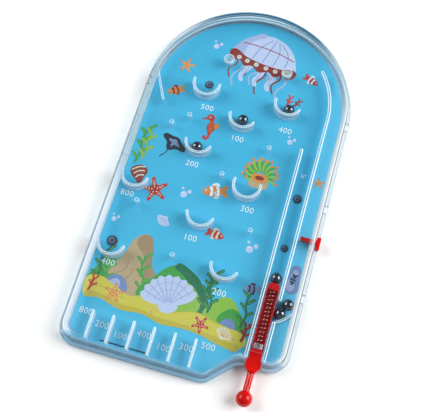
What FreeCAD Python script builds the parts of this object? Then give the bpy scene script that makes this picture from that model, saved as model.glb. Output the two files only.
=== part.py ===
"""Hand-held bagatelle game: clear tray and cover, printed card, spring plunger, ball gate, six balls.

Millimetres. The model is drawn with X from the case's left side, Y from its front edge towards the arch
and Z up from the table, and is moved at the end so that the origin lies in the middle of the underside.
"""
import FreeCAD
import Part
import math
import os

# ---- case -------------------------------------------------------------------------------------
CASE_W = 155.0          # across the tray's rim
CASE_L = 283.0          # front edge to the top of the arch
CASE_H = 13.0           # table to the top of the cover
CORNER_R = 14.0         # the two front corners
STEP_W = 32.3           # width of the set-back part, where the plunger is
FRONT_STEP = 18.0       # how far it is set back from the front edge
SLOPE_DEG = 45.0        # angle of the slope between the two
SLOPE_R = 10.0          # rounding at both ends of the slope

FLOOR_T = 1.5           # tray floor
RIM_T = 2.6             # tray's outer rim, measured inwards
RIM_H = 4.0             # top of the rim above the table
RIM_EDGE_R = 0.8        # rounding of the rim's outer edges
LIP_T = 1.0             # tray's inner lip, inside the cover's wall
LIP_H = 4.2             # top of the lip above the table
WALL_T = 2.0            # cover wall
PLATE_T = 1.6           # cover plate
COVER_EDGE_R = 1.5      # rounding of the cover's top edge
CARD_T = 0.9            # printed card
FIT = 0.2               # gap between nested walls and round the card

# ---- balls and the furniture between card and cover ---------------------------------------------
BALL_D = 8.0            # steel ball
HANG_GAP = 0.3          # furniture stops this far above the card
REST_GAP = 0.3          # between curved pieces that rest on each other
RAIL_T = 2.4            # lane rails
LANE_IN = 22.4          # from the case's right side to the middle of the launch lane
LANE_W = 9.8            # between the lane's rails
LAUNCH_RAIL_SHORT = 29.1    # its left rail ends this far below the arch
OUTER_RAIL_FOOT = 66.0  # lower end of the lane's right rail
OUTER_RAIL_DEG = 37.0   # sweep of its curved top
CUP_R = 10.7            # outside of a score cup
CUP_T = 2.0             # wall of a score cup
CUPS = {                # centres of the cups
    "cup_1": (45.7, 211.2), "cup_2": (78.8, 192.3), "cup_3": (108.3, 210.7),
    "cup_4": (53.5, 164.5), "cup_5": (17.1, 127.5), "cup_6": (95.8, 140.2),
    "cup_7": (70.4, 111.3), "cup_8": (16.9, 75.0), "cup_9": (97.0, 79.2),
}
CUP_RISE_DEG = {        # how far the left and right ends of each wall rise above its centre
    "cup_1": (7.0, 2.0), "cup_2": (-2.0, -26.0), "cup_3": (4.0, -24.0),
    "cup_4": (-8.0, -21.0), "cup_5": (-2.0, -14.0), "cup_6": (14.0, 10.0),
    "cup_7": (-8.0, -16.0), "cup_8": (-2.0, -13.0), "cup_9": (-4.0, -22.0),
}
PIN_D = 3.4             # slim guide pins
PINS = [(30.0, 173.3), (103.7, 172.0), (76.5, 143.5), (24.4, 108.1),
        (106.9, 107.9), (60.2, 76.5), (40.9, 182.4), (77.3, 127.7)]
POST_D = 8.0            # stout posts under the cover
POSTS = [(56.3, 235.0), (100.9, 235.0)]
DIVIDER_T = 1.8         # score channel dividers
DIVIDER_X = 21.2        # first divider
DIVIDER_LAST = 12.0     # last divider, from where the slope leaves the front edge
DIVIDER_COUNT = 6
DIVIDER_TOP = 25.0      # upper end of every divider
RIB_T = 1.6             # deflector rib
RIB_FOOT_IN = 18.2      # its free end from the left side
RIB_DROP = 15.9         # and below the arch
RIB_RISE = 6.5          # its fixed end above the foot of the arch
RAMP_IN = 3.6           # centre of the feed ramp's curve, left of the lane's middle
RAMP_Y = 71.5           # and from the front edge
RAMP_R = 22.7           # its upper, ball-carrying side
RAMP_T = 1.7            # its thickness

# ---- plunger ------------------------------------------------------------------------------------
PLUNGER_W = 8.4         # frame and block
PLUNGER_H = 7.4         # its height
TIP_Y = 76.4            # striking end at rest
TIP_R = 3.2             # rounding of its corners
TIP_T = 4.9             # solid length behind the striking end
BLOCK_Y = 30.0          # lower end of the slot, where the solid block starts
SLOT_W = 6.8            # slot for the spring, open at the top
SLOT_FLOOR_T = 0.6      # its floor
SHOULDER_W = 10.6       # wide shoulder that stops against the ends of the lane's rails
SHOULDER_T = 4.6        # its straight length
SHOULDER_TAPER = 3.4    # from the shoulder down to the rod
RIM_GAP = 0.4           # between the shoulder and the case's walls, each side
ROD_D = 4.6             # rod
ROD_GROOVE_D = 1.2      # grooves along the rod
KNOB_D = 10.8           # ball knob
KNOB_Y = -2.3           # its centre
PLUNGER_EDGE_R = 0.6    # small edge rounding
PLATE_NOTCH_Y = 27.6    # the cover plate starts here over the plunger
STOP_T = 3.5            # spring stop along the lane
STOP_W = 6.0            # spring stop across the slot
SPRING_GAP = 0.2        # under the coil
WIRE_D = 0.6            # spring wire
SPRING_TURNS = 13

# ---- ball gate ----------------------------------------------------------------------------------
GATE_Y = 112.3          # centre line of the arm
GATE_ARM_W = 2.6        # arm along the lane
GATE_ARM_H = 4.2        # arm height
GATE_FOOT_T = 1.2       # taller end that keeps the gate in its slot
GATE_FOOT_H = 4.9       # height of that end
GATE_LANE_GAP = 1.6     # from the outer rail to the arm
GATE_FIT = 0.2          # round the arm in its slot
GATE_SLOT_SPARE = 5.8   # free slot length below the arm
PULL_L = 9.2            # finger pull along the wall
PULL_DROP = 0.5         # its middle below the arm's
PULL_T = 3.0            # finger pull across
PULL_GAP = 0.5          # from the cover's wall to the pull
PULL_EDGE_R = 0.7

# ---- snap hooks ---------------------------------------------------------------------------------
SNAP_Y = 72.0           # first hook
SNAP_RISE = 0.5         # last hook above the foot of the arch
SNAP_COUNT = 3          # on each side
SNAP_L = 5.6            # along the wall
SNAP_OUT = 2.2          # how far a hook stands out of the wall
SNAP_FIT = 0.4          # round a hook in its notch

# ---- balls that lie in cups: the cup, and how far from its centre ---------------------------------
CAUGHT = {
    "ball_1": ("cup_2", 0.4, -1.9),
    "ball_2": ("cup_3", 1.4, -3.3),
    "ball_3": ("cup_4", -0.7, -3.9),
}

# ---- levels and places that follow --------------------------------------------------------------
CARD_Z = FLOOR_T + CARD_T
UNDER_Z = CASE_H - PLATE_T
FOOT_Z = CARD_Z + HANG_GAP
AXIS_Z = CARD_Z + BALL_D / 2
ARCH_Y = CASE_L - CASE_W / 2
STEP_X = CASE_W - STEP_W
SLOPE_X = STEP_X - FRONT_STEP / math.tan(math.radians(SLOPE_DEG))
COVER_IN = RIM_T + FIT
WALL_IN = COVER_IN + WALL_T
LIP_OUT_IN = WALL_IN + FIT
LIP_IN = LIP_OUT_IN + LIP_T
CARD_IN = LIP_IN + FIT
LANE_X = CASE_W - LANE_IN
LANE_L = LANE_X - LANE_W / 2
LANE_R = LANE_X + LANE_W / 2
BEND_R = LANE_R - CASE_W / 2    # inside of the outer rail's curved top
RAMP_X = LANE_X - RAMP_IN
RAIL_Y = FRONT_STEP + WALL_IN
BIG = CASE_W + CASE_L


def v(x, y, z=0.0):
    return FreeCAD.Vector(x, y, z)


def box(x0, x1, y0, y1, z0, z1):
    return Part.makeBox(x1 - x0, y1 - y0, z1 - z0, v(x0, y0, z0))


def cylinder(x, y, d, z0, z1):
    return Part.makeCylinder(d / 2, z1 - z0, v(x, y, z0))


def fused(shapes):
    whole = shapes[0].multiFuse(shapes[1:]) if len(shapes) > 1 else shapes[0]
    return whole.removeSplitter()


def rounded_chain(corners):
    """Edges along corners given as (x, y, radius), from the first point to the last."""
    edges, start = [], v(*corners[0][:2])
    for before, here, after in zip(corners, corners[1:], corners[2:]):
        at = v(here[0], here[1])
        into = (at - v(before[0], before[1])).normalize()
        out = (v(after[0], after[1]) - at).normalize()
        turn = into.getAngle(out)
        reach = here[2] * math.tan(turn / 2)
        first, last = at - into * reach, at + out * reach
        middle = at + (out - into).normalize() * here[2] * (1 / math.cos(turn / 2) - 1)
        edges.append(Part.LineSegment(start, first).toShape())
        edges.append(Part.Arc(first, middle, last).toShape())
        start = last
    edges.append(Part.LineSegment(start, v(*corners[-1][:2])).toShape())
    return edges


def outline(inset):
    """The case's outline moved inwards by inset, as a flat face at z = 0."""
    left, right = inset, CASE_W - inset
    shift = inset * math.tan(math.radians(SLOPE_DEG) / 2)
    edges = rounded_chain([
        (left, ARCH_Y, 0.0),
        (left, inset, CORNER_R - inset),
        (SLOPE_X - shift, inset, SLOPE_R - inset),
        (STEP_X - shift, FRONT_STEP + inset, SLOPE_R + inset),
        (right, FRONT_STEP + inset, CORNER_R - inset),
        (right, ARCH_Y, 0.0),
    ])
    edges.append(Part.Arc(v(right, ARCH_Y), v(CASE_W / 2, CASE_L - inset), v(left, ARCH_Y)).toShape())
    return Part.Face(Part.Wire(edges))


def slab(inset, z0, z1):
    face = outline(inset)
    face.translate(v(0, 0, z0))
    return face.extrude(v(0, 0, z1 - z0))


def edges_at(shape, z):
    """Edges that lie wholly at height z."""
    return [e for e in shape.Edges if abs(e.BoundBox.ZMin - z) < 1e-6 and abs(e.BoundBox.ZMax - z) < 1e-6]


def snap_boxes(spare, reach, z0, z1):
    """Blocks across both sides at the snap hooks, from inside the cover's wall outwards."""
    pitch = (ARCH_Y + SNAP_RISE - SNAP_Y) / (SNAP_COUNT - 1)
    long, deep = SNAP_L + 2 * spare, WALL_T / 2 + reach
    for i in range(SNAP_COUNT):
        y = SNAP_Y + i * pitch - long / 2
        for x in (COVER_IN - reach, CASE_W - COVER_IN - WALL_T / 2):
            yield box(x, x + deep, y, y + long, z0, z1)


# ---- tray, card and cover -----------------------------------------------------------------------
def plunger_exit():
    """Block across the front walls where the plunger's shoulder passes."""
    half = SHOULDER_W / 2 + RIM_GAP
    return box(LANE_X - half, LANE_X + half, 0, RAIL_Y, FLOOR_T, BIG)


def base_tray():
    tray = slab(0, 0, RIM_H)
    tray = tray.makeFillet(RIM_EDGE_R, edges_at(tray, 0) + edges_at(tray, RIM_H))
    trough = slab(RIM_T, FLOOR_T, BIG)
    lip = slab(LIP_OUT_IN, FLOOR_T, LIP_H).cut(slab(LIP_IN, 0, BIG))
    lane_side = RAIL_T + FIT
    lip = lip.cut(box(LANE_L - lane_side, LANE_R + lane_side, 0, ARCH_Y / 2, 0, BIG))
    tray = tray.cut(trough).fuse(lip).cut(plunger_exit())
    notches = list(snap_boxes(SNAP_FIT, 2 * COVER_IN, FLOOR_T, BIG))
    return tray.cut(notches).removeSplitter()


def playfield_card():
    return slab(CARD_IN, FLOOR_T, CARD_Z)


def gate_slot():
    half = GATE_ARM_W / 2 + GATE_FIT
    arm_z = gate_level()
    return box(LANE_R, CASE_W, GATE_Y - half - GATE_SLOT_SPARE, GATE_Y + half,
               arm_z - GATE_FIT, arm_z + GATE_ARM_H + GATE_FIT)


def cover():
    shell = slab(COVER_IN, FLOOR_T, CASE_H)
    shell = shell.makeFillet(COVER_EDGE_R, edges_at(shell, CASE_H))
    shell = shell.cut(slab(WALL_IN, 0, UNDER_Z))
    notch = box(LANE_L, LANE_R, 0, PLATE_NOTCH_Y, 0, BIG)
    hooks = list(snap_boxes(0, SNAP_OUT, FLOOR_T + FIT, RIM_H))
    return fused([shell.cut([notch, plunger_exit(), gate_slot()])] + hooks)


# ---- furniture that hangs from the cover --------------------------------------------------------
def hanging_wall(start, end, thick):
    """A straight wall between two points, with round ends."""
    a, b = v(*start, FOOT_Z), v(*end, FOOT_Z)
    side = (b - a).normalize().cross(v(0, 0, 1)) * (thick / 2)
    face = Part.Face(Part.makePolygon([a + side, b + side, b - side, a - side, a + side]))
    ends = [cylinder(p.x, p.y, thick, FOOT_Z, UNDER_Z) for p in (a, b)]
    return fused([face.extrude(v(0, 0, UNDER_Z - FOOT_Z))] + ends)


def ring_sector(x, y, inner, outer, from_deg, to_deg):
    """Part of a ring standing between card and cover."""
    height = UNDER_Z - FOOT_Z
    wedge = [Part.makeCylinder(r, height, v(x, y, FOOT_Z), v(0, 0, 1), to_deg - from_deg) for r in (outer, inner)]
    sector = wedge[0].cut(wedge[1])
    sector.rotate(v(x, y), v(0, 0, 1), from_deg)
    return sector


def on_circle(x, y, radius, deg):
    return x + radius * math.cos(math.radians(deg)), y + radius * math.sin(math.radians(deg))


def curved_wall(x, y, outer, thick, from_deg, to_deg):
    """A ring sector with round ends."""
    sector = ring_sector(x, y, outer - thick, outer, from_deg, to_deg)
    tips = [cylinder(*on_circle(x, y, outer - thick / 2, deg), thick, FOOT_Z, UNDER_Z)
            for deg in (from_deg, to_deg)]
    return fused([sector] + tips)


def launch_rail():
    top = ARCH_Y - LAUNCH_RAIL_SHORT
    rail = box(LANE_L - RAIL_T, LANE_L, RAIL_Y, top, FOOT_Z, UNDER_Z)
    return fused([rail, cylinder(LANE_L - RAIL_T / 2, top, RAIL_T, FOOT_Z, UNDER_Z)])


def outer_rail():
    """The straight part of the launch lane's right rail."""
    straight = box(LANE_R, LANE_R + RAIL_T, OUTER_RAIL_FOOT, ARCH_Y, FOOT_Z, UNDER_Z)
    return fused([straight, cylinder(LANE_R + RAIL_T / 2, OUTER_RAIL_FOOT, RAIL_T, FOOT_Z, UNDER_Z)])


def outer_rail_bend():
    """Its curved top, which follows the arch."""
    bend = ring_sector(CASE_W / 2, ARCH_Y, BEND_R, BEND_R + RAIL_T, 0, OUTER_RAIL_DEG)
    end_x, end_y = on_circle(CASE_W / 2, ARCH_Y, BEND_R + RAIL_T / 2, OUTER_RAIL_DEG)
    return fused([bend, cylinder(end_x, end_y, RAIL_T, FOOT_Z, UNDER_Z)])


def feed_ramp():
    """The channel's right wall and the curved ramp that rises from it to the case's side."""
    far = CASE_W - CARD_IN
    outer = RAMP_R + RAMP_T
    ramp = ring_sector(RAMP_X, RAMP_Y, RAMP_R, outer, -90, 0)
    ramp = ramp.common(box(LANE_R, far, 0, RAMP_Y, 0, BIG))
    wall_top = RAMP_Y - math.sqrt(outer ** 2 - (LANE_R + RAIL_T - RAMP_X) ** 2)
    wall = box(LANE_R, LANE_R + RAIL_T, RAIL_Y, wall_top + RAMP_T / 2, FOOT_Z, UNDER_Z)
    return fused([ramp, wall.cut(cylinder(RAMP_X, RAMP_Y, 2 * RAMP_R, 0, BIG))])


def deflector_rib():
    reach = CASE_W / 2 - CARD_IN - RIB_T / 2
    top = (CASE_W / 2 - math.sqrt(reach ** 2 - RIB_RISE ** 2), ARCH_Y + RIB_RISE)
    return hanging_wall(top, (RIB_FOOT_IN, ARCH_Y - RIB_DROP), RIB_T)


def score_cup(name):
    left, right = CUP_RISE_DEG[name]
    return curved_wall(*CUPS[name], CUP_R, CUP_T, 180 - left, 360 + right)


def guide_pins():
    return Part.makeCompound([cylinder(x, y, PIN_D, FOOT_Z, UNDER_Z) for x, y in PINS])


def cover_posts():
    return Part.makeCompound([cylinder(x, y, POST_D, FOOT_Z, UNDER_Z) for x, y in POSTS])


def divider(index):
    pitch = (SLOPE_X - DIVIDER_LAST - DIVIDER_X) / (DIVIDER_COUNT - 1)
    x = DIVIDER_X + index * pitch
    bar = box(x - DIVIDER_T / 2, x + DIVIDER_T / 2, CARD_IN, DIVIDER_TOP, FOOT_Z, UNDER_Z)
    return fused([bar, cylinder(x, DIVIDER_TOP, DIVIDER_T, FOOT_Z, UNDER_Z)])


# ---- plunger, spring and stop -------------------------------------------------------------------
def slot_floor():
    """Level of the slot's floor."""
    return AXIS_Z - PLUNGER_H / 2 + SLOT_FLOOR_T


def plunger():
    """Slotted frame, solid block, shoulder, grooved rod and ball knob in one piece."""
    half, z0 = PLUNGER_W / 2, AXIS_Z - PLUNGER_H / 2
    shoulder_y = RAIL_Y - FIT / 2
    body = rounded_chain([
        (LANE_X + half, shoulder_y, 0), (LANE_X + half, TIP_Y, TIP_R),
        (LANE_X - half, TIP_Y, TIP_R), (LANE_X - half, shoulder_y, 0),
    ])
    wide, low = SHOULDER_W / 2, shoulder_y - SHOULDER_T
    neck = low - SHOULDER_TAPER
    foot = [v(LANE_X - half, shoulder_y), v(LANE_X - wide, shoulder_y), v(LANE_X - wide, low),
            v(LANE_X - ROD_D / 2, neck), v(LANE_X + ROD_D / 2, neck), v(LANE_X + wide, low),
            v(LANE_X + wide, shoulder_y), v(LANE_X + half, shoulder_y)]
    face = Part.Face(Part.Wire(body + Part.makePolygon(foot).Edges))
    face.translate(v(0, 0, z0))
    solid = face.extrude(v(0, 0, PLUNGER_H))
    solid = solid.makeFillet(PLUNGER_EDGE_R, edges_at(solid, z0) + edges_at(solid, z0 + PLUNGER_H))
    slot = box(LANE_X - SLOT_W / 2, LANE_X + SLOT_W / 2, BLOCK_Y, TIP_Y - TIP_T, slot_floor(), BIG)
    rod = Part.makeCylinder(ROD_D / 2, low - KNOB_Y, v(LANE_X, KNOB_Y, AXIS_Z), v(0, 1, 0))
    grooves = [Part.makeCylinder(ROD_GROOVE_D / 2, neck - KNOB_Y, v(LANE_X, KNOB_Y, AXIS_Z + side * ROD_D / 2),
                                 v(0, 1, 0)) for side in (-1, 1)]
    knob = Part.makeSphere(KNOB_D / 2, v(LANE_X, KNOB_Y, AXIS_Z))
    return fused([solid.cut(slot), rod.cut(grooves), knob])


def stop_y():
    """Lower face of the spring stop, just above the plunger's block at rest."""
    return BLOCK_Y + REST_GAP


def spring_stop():
    return box(LANE_X - STOP_W / 2, LANE_X + STOP_W / 2, stop_y(), stop_y() + STOP_T,
               slot_floor() + REST_GAP, UNDER_Z)


def plunger_spring():
    """Open coil from the stop to the back of the plunger's tip."""
    low = stop_y() + STOP_T + WIRE_D / 2 + FIT / 2
    high = TIP_Y - TIP_T - WIRE_D / 2 - FIT / 2
    mean = AXIS_Z - slot_floor() - SPRING_GAP - WIRE_D / 2
    helix = Part.makeHelix((high - low) / SPRING_TURNS, high - low, mean)
    ring = Part.Wire(Part.makeCircle(WIRE_D / 2, v(mean, 0, 0), v(0, 1, 0)))
    coil = Part.Wire(helix.Edges).makePipeShell([ring], True, True)
    coil.rotate(v(0, 0, 0), v(1, 0, 0), -90)
    coil.translate(v(LANE_X, low, AXIS_Z))
    return coil


# ---- ball gate ----------------------------------------------------------------------------------
def gate_level():
    """Underside of the gate's arm, above the tray's lip and rim."""
    return max(LIP_H, RIM_H) + 2 * GATE_FIT


def ball_gate():
    z0 = gate_level()
    tip = LANE_R + RAIL_T + GATE_LANE_GAP
    pull_x = CASE_W - COVER_IN + PULL_GAP
    arm = box(tip, pull_x + PULL_T / 2, GATE_Y - GATE_ARM_W / 2, GATE_Y + GATE_ARM_W / 2, z0, z0 + GATE_ARM_H)
    foot = box(tip, tip + GATE_FOOT_T, GATE_Y - GATE_ARM_W / 2, GATE_Y + GATE_ARM_W / 2, z0, z0 + GATE_FOOT_H)
    pull_y = GATE_Y - PULL_DROP
    pull = box(pull_x, pull_x + PULL_T, pull_y - PULL_L / 2, pull_y + PULL_L / 2, z0, z0 + GATE_ARM_H)
    pull = pull.makeFillet(PULL_EDGE_R, pull.Edges)
    return fused([arm, foot, pull])


# ---- balls --------------------------------------------------------------------------------------
def ball_places():
    """Centres of the caught balls, the one on the plunger's tip and the two that wait on the ramp."""
    for name, (cup, dx, dy) in CAUGHT.items():
        yield name, CUPS[cup][0] + dx, CUPS[cup][1] + dy
    reach = BALL_D / 2 + REST_GAP
    yield "ball_4", LANE_X, TIP_Y + reach
    low_x = LANE_X + PLUNGER_W / 2 + reach
    low_y = RAMP_Y - math.sqrt((RAMP_R - reach) ** 2 - (low_x - RAMP_X) ** 2)
    yield "ball_5", low_x, low_y
    high_x = CASE_W - LIP_IN - BALL_D / 2
    yield "ball_6", high_x, low_y + math.sqrt((BALL_D + REST_GAP) ** 2 - (high_x - low_x) ** 2)


def nodes():
    yield "base_tray", base_tray()
    yield "playfield_card", playfield_card()
    yield "cover", cover()
    yield "launch_rail", launch_rail()
    yield "outer_rail", outer_rail()
    yield "outer_rail_bend", outer_rail_bend()
    yield "feed_ramp", feed_ramp()
    yield "deflector_rib", deflector_rib()
    for name in CUPS:
        yield name, score_cup(name)
    yield "guide_pins", guide_pins()
    yield "cover_posts", cover_posts()
    for index in range(DIVIDER_COUNT):
        yield f"divider_{index + 1}", divider(index)
    yield "spring_stop", spring_stop()
    yield "plunger", plunger()
    yield "plunger_spring", plunger_spring()
    yield "ball_gate", ball_gate()
    for name, x, y in ball_places():
        yield name, Part.makeSphere(BALL_D / 2, v(x, y, AXIS_Z))


os.makedirs("parts", exist_ok=True)
for node, shape in nodes():
    shape.translate(v(-CASE_W / 2, -CASE_L / 2, 0))
    shape.exportStep(f"parts/{node}.step")
    print(f"{node:16s} solids {len(shape.Solids)} volume {shape.Volume:9.1f} valid {shape.isValid()}")
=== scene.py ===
import math
import bmesh
import bpy
from mathutils import Matrix, Vector


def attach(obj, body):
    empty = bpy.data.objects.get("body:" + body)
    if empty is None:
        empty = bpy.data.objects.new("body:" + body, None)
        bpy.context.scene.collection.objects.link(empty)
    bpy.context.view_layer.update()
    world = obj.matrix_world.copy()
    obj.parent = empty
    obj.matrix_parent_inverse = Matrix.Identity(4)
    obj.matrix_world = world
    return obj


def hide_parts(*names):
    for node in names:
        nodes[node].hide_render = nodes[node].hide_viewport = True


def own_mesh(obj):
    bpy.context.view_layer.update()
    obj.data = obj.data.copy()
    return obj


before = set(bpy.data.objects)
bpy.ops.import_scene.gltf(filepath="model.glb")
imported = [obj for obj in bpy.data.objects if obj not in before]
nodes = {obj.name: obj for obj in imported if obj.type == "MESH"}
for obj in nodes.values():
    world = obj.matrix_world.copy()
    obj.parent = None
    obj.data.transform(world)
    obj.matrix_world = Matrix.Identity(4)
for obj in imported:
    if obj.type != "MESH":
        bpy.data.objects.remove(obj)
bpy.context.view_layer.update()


# ---- base tray ---------------------------------------------------------------------------------
# A shallow tray moulded in clear polystyrene: floor, outer rim and a thin lip inside the cover's
# wall. The rim is notched for the plunger and for the six snap hooks.

CASE_W, CASE_L, CASE_H = 155.0, 283.0, 13.0
CORNER_R = 14.0
STEP_W, FRONT_STEP = 32.3, 18.0
SLOPE_X = CASE_W / 2 - STEP_W - FRONT_STEP
SLOPE_LOSS = 0.293    # 1 - cos 45, for the stretch of the front edge that runs at a slant
ARCH_Y = CASE_L - CASE_W / 2
RIM_T = 2.6
LIP_H = 4.2


class Signal:
    """A shader value: arithmetic on it adds Math nodes, and node() adds any other node."""

    def __init__(self, tree, socket=None):
        self.tree = tree
        self.socket = socket

    def node(self, kind, inputs=(), output=0, **settings):
        made = self.tree.nodes.new("ShaderNode" + kind)
        for key, value in settings.items():
            setattr(made, key, value)
        for name, value in dict(inputs).items():
            if isinstance(value, Signal):
                self.tree.links.new(value.socket, made.inputs[name])
            else:
                made.inputs[name].default_value = value
        return Signal(self.tree, made.outputs[output] if made.outputs else None)

    def math(self, operation, *values):
        return self.node("Math", dict(enumerate(values)), operation=operation)

    def __add__(self, other):
        return self.math("ADD", self, other)

    def __sub__(self, other):
        return self.math("SUBTRACT", self, other)

    def __rsub__(self, other):
        return self.math("SUBTRACT", other, self)

    def __mul__(self, other):
        return self.math("MULTIPLY", self, other)

    def __truediv__(self, other):
        return self.math("DIVIDE", self, other)

    def __pow__(self, other):
        return self.math("POWER", self, other)

    def __gt__(self, other):
        return self.math("GREATER_THAN", self, other)

    def __lt__(self, other):
        return self.math("LESS_THAN", self, other)

    def __abs__(self):
        return self.math("ABSOLUTE", self)

    __radd__ = __add__
    __rmul__ = __mul__

    def at_least(self, low):
        return self.math("MAXIMUM", self, low)

    def at_most(self, high):
        return self.math("MINIMUM", self, high)

    def smooth(self, low, high):
        """0 below low and 1 above high, with a soft step between."""
        return self.node("MapRange", {"Value": self, "From Min": low, "From Max": high},
                         interpolation_type="SMOOTHSTEP")

    def mix(self, first, second):
        """The colour first where this value is 0, second where it is 1."""
        return self.node("Mix", {"Factor": self, 6: first, 7: second}, output=2, data_type="RGBA")

    def axes(self):
        """This vector's three parts."""
        parts = self.node("SeparateXYZ", {0: self})
        return [Signal(self.tree, socket) for socket in parts.socket.node.outputs]


def colour(red, green, blue):
    """A colour written as the usual 0 to 255 values, made linear."""
    return (*[(c / 255 / 12.92) if c <= 10 else ((c / 255 + 0.055) / 1.055) ** 2.4
              for c in (red, green, blue)], 1)


def new_finish(name):
    """An empty material, and a signal to start its nodes from."""
    material = bpy.data.materials.new(name)
    material.use_nodes = True
    material.node_tree.nodes.clear()
    return material, Signal(material.node_tree)


def show(surface):
    surface.node("OutputMaterial", {"Surface": surface})


def dress(piece, material):
    """Gives a piece one material."""
    piece.data.materials.clear()
    piece.data.materials.append(material)
    for face in piece.data.polygons:
        face.material_index = 0


def case_plan(x, y):
    """How far inside the case's outline a place is, and how far behind its front edge, in millimetres."""
    beyond = (y - (ARCH_Y - CASE_L / 2)).at_least(0.0)
    from_side = CASE_W / 2 - (x ** 2.0 + beyond ** 2.0) ** 0.5
    step = (x - SLOPE_X).at_most(FRONT_STEP).at_least(0.0)
    slant = x.smooth(23.0, 31.0) * (1 - x.smooth(41.0, 49.0))
    from_front = (y + CASE_L / 2 - step) * (1 - SLOPE_LOSS * slant)
    into_side = (CORNER_R - from_side).at_least(0.0)
    into_front = (CORNER_R - from_front).at_least(0.0)
    return CORNER_R - (into_side ** 2.0 + into_front ** 2.0) ** 0.5, from_front


def case_plastic(name):
    """Clear plastic of the case: a pane where it lies flat, with painted bands of light and shade along its
    edges, painted pale down the sides and at the front, and a painted deep blue-green shade round the arch."""
    material, graph = new_finish(name)
    place = graph.node("TexCoord", output="Object")
    x, y, z = [axis * 1000.0 for axis in place.axes()]
    inset, from_front = case_plan(x, y)
    normal = graph.node("NewGeometry", output="True Normal")
    facing = graph.node("LayerWeight", {"Blend": 0.5, "Normal": normal}, output="Facing")
    cloud = graph.node("TexNoise", {"Vector": place, "Scale": 90.0, "Detail": 2.0})

    # the kinds of surface: level plates, upright walls and the rounded edges between them
    endwise, flatness = [abs(part) for part in normal.axes()[1:]]
    level = flatness.smooth(0.96, 0.995)
    upright = 1 - flatness.smooth(0.1, 0.3)
    rounded = (1 - level) * (1 - upright)

    # the places: round the arch, at the front, down both sides, the half nearer the front, the stretch
    # by the plunger, and up at the cover's plate
    rise = (y - (ARCH_Y - CASE_L / 2)) / (CASE_W / 2)
    arch = rise.smooth(0.4, 0.85)
    shoulder = rise.smooth(0.0, 0.5)
    front = 1 - from_front.smooth(5.5, 8.5)
    flank = (1 - shoulder) * (1 - front)
    left = (0 - x).smooth(50.0, 70.0) * flank
    right = x.smooth(50.0, 70.0) * flank
    near = 1 - y.smooth(-40.0, 20.0)
    bay = x.smooth(40.0, 48.0)
    high = z.smooth(CASE_H - 3.0, CASE_H - 2.0)

    # the bands, all painted light and shade: three along the cover's edge from the outside in (the sill, a
    # painted dark line; the brow, painted dark round the arch and pale elsewhere; the glow, a painted pale
    # highlight), a painted pale band within the arch, the tray's rim and the floor between rim and card,
    # the lip, and a painted glint on walls that face the ends
    rim = 1 - inset.smooth(RIM_T, RIM_T + 0.15)
    ledge = level * high
    sill = high * (1 - upright) * (1 - (inset - 0.7 * left).smooth(3.3, 3.6))
    brow = ledge * (1 - (inset + 0.6 * right - 0.6 * arch).smooth(5.0, 6.0)) * (1 - sill)
    glow = ledge * (1 - (inset - 1.5 * left).smooth(4.6, 8.5)) * (1 - brow) * (1 - sill)
    painted_haze = ledge * shoulder * (1 - inset.smooth(8.0, 12.0)) * (1 - brow)
    moat = level * (1 - high) * (1 - rim) * (1 - inset.smooth(6.2, 6.5)) * (1 - z.smooth(1.6, 2.0))
    lip = upright * arch * (1 - z.smooth(LIP_H, LIP_H + 0.2)) * inset.smooth(5.6, 5.9)
    end_glint = upright * endwise.smooth(0.8, 0.95) * (1 - arch) * (1 - front)
    painted = (brow + glow + painted_haze + sill + rim + moat).smooth(0.0, 1.0)
    crown = 0.3 * shoulder + 0.7 * arch

    # painted light and shade, laid over a plain pale tone: the pale bands are darker towards the back and
    # painted white on the left; the arch's dark blue-green, the greys on the sill, rim and front wall and
    # the dark blue on the lip are painted shade, the sill is painted darker on the right than on the left,
    # and the end walls carry a painted glint
    side_tone = near.mix(colour(138, 190, 216), colour(222, 238, 255))
    tone = (left * (brow + glow)).mix(colour(244, 250, 254), side_tone)
    for mask, shade in (
            (crown * brow, colour(4, 84, 118)),
            (shoulder * rounded * high, colour(90, 150, 172)),
            (painted_haze, colour(116, 180, 214)),
            (shoulder * moat, colour(128, 196, 232)),
            (sill * (left + right), right.mix(colour(138, 154, 164), colour(80, 94, 106))),
            (front * (1 - 0.5 * rim * upright), bay.mix(colour(124, 190, 224), colour(176, 206, 230))),
            (front * sill, bay.mix(colour(104, 156, 184), colour(140, 160, 190))),
            (front * upright, bay.mix(colour(158, 190, 210), colour(190, 204, 230))),
            (rim * rounded * (1 - front), colour(168, 178, 184)),
            (lip, colour(8, 60, 108)),
            (end_glint, high.mix(colour(120, 136, 146), colour(246, 240, 244)))):
        tone = mask.mix(tone, shade)

    # how much of the plastic shows at each place, where the rest is clear
    shown = (level * (0.03 + facing ** 5.0) + upright * (0.02 + 0.03 * cloud + 0.12 * facing ** 2.0)
             + rounded * (0.62 + 0.3 * arch) + brow * crown * 0.95 + sill * (left + right) * 0.4
             + (1 - facing) ** 2.0 * (
                 brow * (left * (0.45 + 0.6 * near) + 0.5 * right + 0.35 * front)
                 + glow * (left * (0.25 + 0.35 * near) + 0.2 * right) + painted_haze * 0.2)
             + moat * (0.4 * shoulder + 0.5 * front + 0.3 * right)
             + level * rim * (0.06 + 0.5 * right + 0.45 * front)
             + upright * front * 0.45 * (1 - inset.smooth(3.0, 3.4)) + lip * 0.5 + end_glint * 0.7)
    body = graph.node("BsdfPrincipled", {
        "Base Color": tone,
        "Roughness": 0.08 + 0.1 * cloud + 0.6 * sill,
        "Metallic": level * (1 - painted),
        "Specular IOR Level": 0.5})
    clear = graph.node("BsdfTransparent", {"Color": colour(248, 253, 255)})
    show(graph.node("MixShader", {0: shown.at_most(0.96), 1: clear, 2: body}))
    return material


tray_clear = case_plastic("tray_clear")
dress(nodes["base_tray"], tray_clear)


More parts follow.
